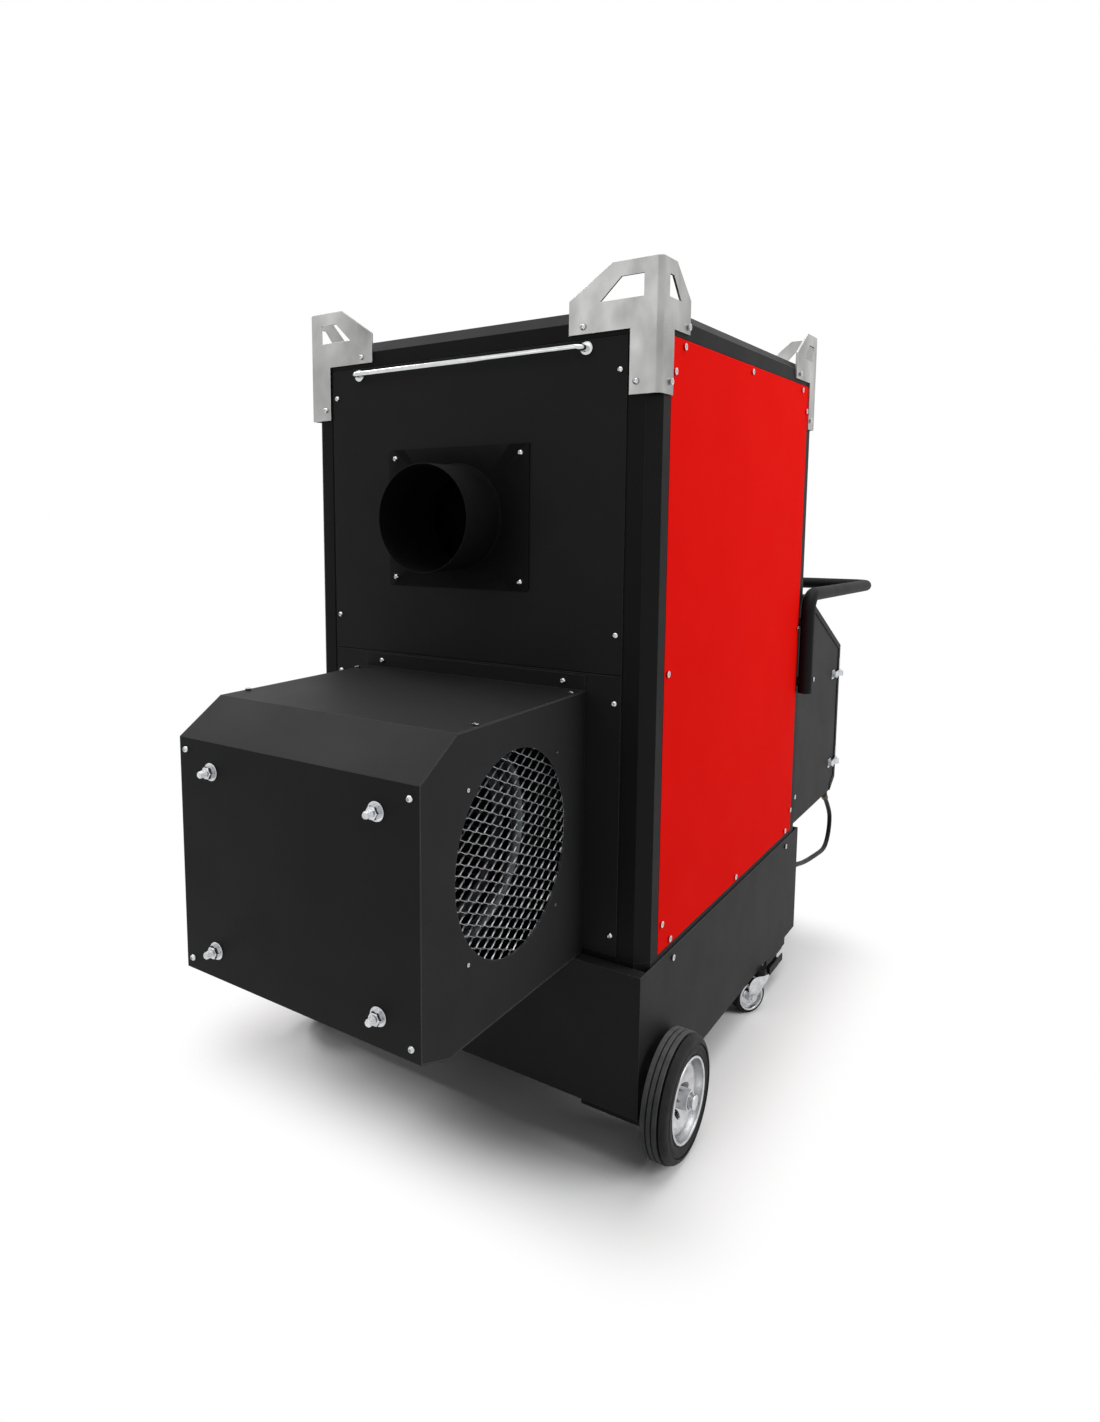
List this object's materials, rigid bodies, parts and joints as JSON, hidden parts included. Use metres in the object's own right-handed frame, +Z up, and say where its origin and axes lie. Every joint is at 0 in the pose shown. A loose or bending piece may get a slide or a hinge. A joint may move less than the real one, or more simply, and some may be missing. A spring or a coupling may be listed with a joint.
{
  "type": "oil-fired air heater",
  "caption": "Mobile oil-fired air heater: framed cabinet with a side-inlet fan box, flue spigot, burner box, push handle, lifting brackets, fuel base, wheels and castors.",
  "frame": {"origin": "on the ground under the middle of the bounding box", "axes": "+Z up, -Y the fan and flue end, +Y the burner and push handle end, +X the heater's right-hand side seen from the push handle"},
  "size_m": [0.888, 2.083, 1.566],
  "materials": {
    "red_paint": "gloss powder coat",
    "black_paint": "satin powder coat",
    "galvanised": "galvanised sheet",
    "zinc_plate": "bright zinc plated",
    "stainless": "bare stainless",
    "tyre_rubber": "matt",
    "castor_rubber": "matt",
    "hose_rubber": "matt",
    "black_plastic": "moulded",
    "tank_plastic": "moulded polyethylene",
    "motor_cast": "painted casting",
    "brass_fitting": "turned"
  },
  "bodies": {
    "cabinet": {"pillars": "black_paint", "frame_rails": "black_paint", "corner_blocks": "black_paint", "front_upper_panel": "black_paint", "front_lower_panel": "black_paint", "right_side_panel": "red_paint", "left_side_panel": "red_paint", "rear_panel": "black_paint", "top_panel": "black_paint", "floor_panel": "galvanised", "flue_spigot": "black_paint", "hot_air_spigot": "galvanised", "lift_bracket_front_right": "galvanised", "lift_bracket_front_left": "galvanised", "lift_bracket_rear_right": "galvanised", "lift_bracket_rear_left": "galvanised", "hanging_rail": "zinc_plate", "fan_box_wrap": "black_paint", "fan_box_side_right": "black_paint", "fan_box_side_left": "black_paint", "fan_grilles": "galvanised", "fan_scroll": "galvanised", "fan_inlet_cones": "galvanised", "fan_motor": "motor_cast", "fan_box_studs": "zinc_plate", "combustion_chamber": "stainless", "heat_exchanger": "stainless", "burner_blast_tube": "stainless", "burner_housing": "motor_cast", "burner_motor_and_pump": "motor_cast", "burner_box": "black_paint", "latch_plates": "zinc_plate", "push_handle": "black_paint", "base_shell": "black_paint", "fuel_tank": "tank_plastic", "front_axle_brackets": "black_paint", "castor_heads": "black_paint", "rear_channels": "black_paint", "fuel_hose": "hose_rubber", "hose_unions": "brass_fitting", "screws_and_rivets": "zinc_plate"},
    "fan_rotor": {"fan_wheel": "galvanised", "fan_shaft": "zinc_plate"},
    "front_wheel_right": {"front_tyre_right": "tyre_rubber", "front_rim_right": "zinc_plate"},
    "front_wheel_left": {"front_tyre_left": "tyre_rubber", "front_rim_left": "zinc_plate"},
    "castor_swivel_right": {"castor_fork_right": "zinc_plate"},
    "castor_swivel_left": {"castor_fork_left": "zinc_plate"},
    "castor_wheel_right": {"castor_tyre_right": "castor_rubber", "castor_rim_right": "zinc_plate"},
    "castor_wheel_left": {"castor_tyre_left": "castor_rubber", "castor_rim_left": "zinc_plate"},
    "burner_cover": {"burner_box_cover": "black_paint", "latch_keepers": "zinc_plate"},
    "latch_right_upper": {"latch_lever_right_upper": "zinc_plate"},
    "latch_right_lower": {"latch_lever_right_lower": "zinc_plate"},
    "latch_left_upper": {"latch_lever_left_upper": "zinc_plate"},
    "latch_left_lower": {"latch_lever_left_lower": "zinc_plate"},
    "filler_cap": {"fuel_cap": "black_plastic"}
  },
  "joints": [
    {"name": "fan_spin", "type": "hinge", "parent": "cabinet", "child": "fan_rotor", "pos_m": [0.007, -0.7645, 0.624], "axis": [1, 0, 0], "continuous": true},
    {"name": "front_wheel_right_spin", "type": "hinge", "parent": "cabinet", "child": "front_wheel_right", "pos_m": [0.42, -0.4675, 0.115], "axis": [1, 0, 0], "continuous": true},
    {"name": "front_wheel_left_spin", "type": "hinge", "parent": "cabinet", "child": "front_wheel_left", "pos_m": [-0.42, -0.4675, 0.115], "axis": [1, 0, 0], "continuous": true},
    {"name": "castor_right_swivel", "type": "hinge", "parent": "cabinet", "child": "castor_swivel_right", "pos_m": [0.377, 0.1365, 0.085], "axis": [0, 0, 1], "continuous": true},
    {"name": "castor_left_swivel", "type": "hinge", "parent": "cabinet", "child": "castor_swivel_left", "pos_m": [-0.377, 0.1365, 0.085], "axis": [0, 0, 1], "continuous": true},
    {"name": "castor_wheel_right_spin", "type": "hinge", "parent": "castor_swivel_right", "child": "castor_wheel_right", "pos_m": [0.363, 0.11225, 0.04], "axis": [0.866, -0.5, 0], "continuous": true},
    {"name": "castor_wheel_left_spin", "type": "hinge", "parent": "castor_swivel_left", "child": "castor_wheel_left", "pos_m": [-0.363, 0.11225, 0.04], "axis": [0.866, 0.5, 0], "continuous": true},
    {"name": "burner_cover_lift_off", "type": "slide", "parent": "cabinet", "child": "burner_cover", "axis": [0, 1, 0], "range_m": [0, 0.12]},
    {"name": "latch_right_upper_hinge", "type": "hinge", "parent": "cabinet", "child": "latch_right_upper", "pos_m": [0.3727, 0.787, 0.702], "axis": [0, 0, 1], "range_deg": [-95, 0]},
    {"name": "latch_right_lower_hinge", "type": "hinge", "parent": "cabinet", "child": "latch_right_lower", "pos_m": [0.3727, 0.787, 0.446], "axis": [0, 0, 1], "range_deg": [-95, 0]},
    {"name": "latch_left_upper_hinge", "type": "hinge", "parent": "cabinet", "child": "latch_left_upper", "pos_m": [-0.3727, 0.787, 0.702], "axis": [0, 0, 1], "range_deg": [0, 95]},
    {"name": "latch_left_lower_hinge", "type": "hinge", "parent": "cabinet", "child": "latch_left_lower", "pos_m": [-0.3727, 0.787, 0.446], "axis": [0, 0, 1], "range_deg": [0, 95]},
    {"name": "filler_cap_lift_off", "type": "slide", "parent": "cabinet", "child": "filler_cap", "axis": [-0.7071, 0, 0.7071], "range_m": [0, 0.045]}
  ]
}
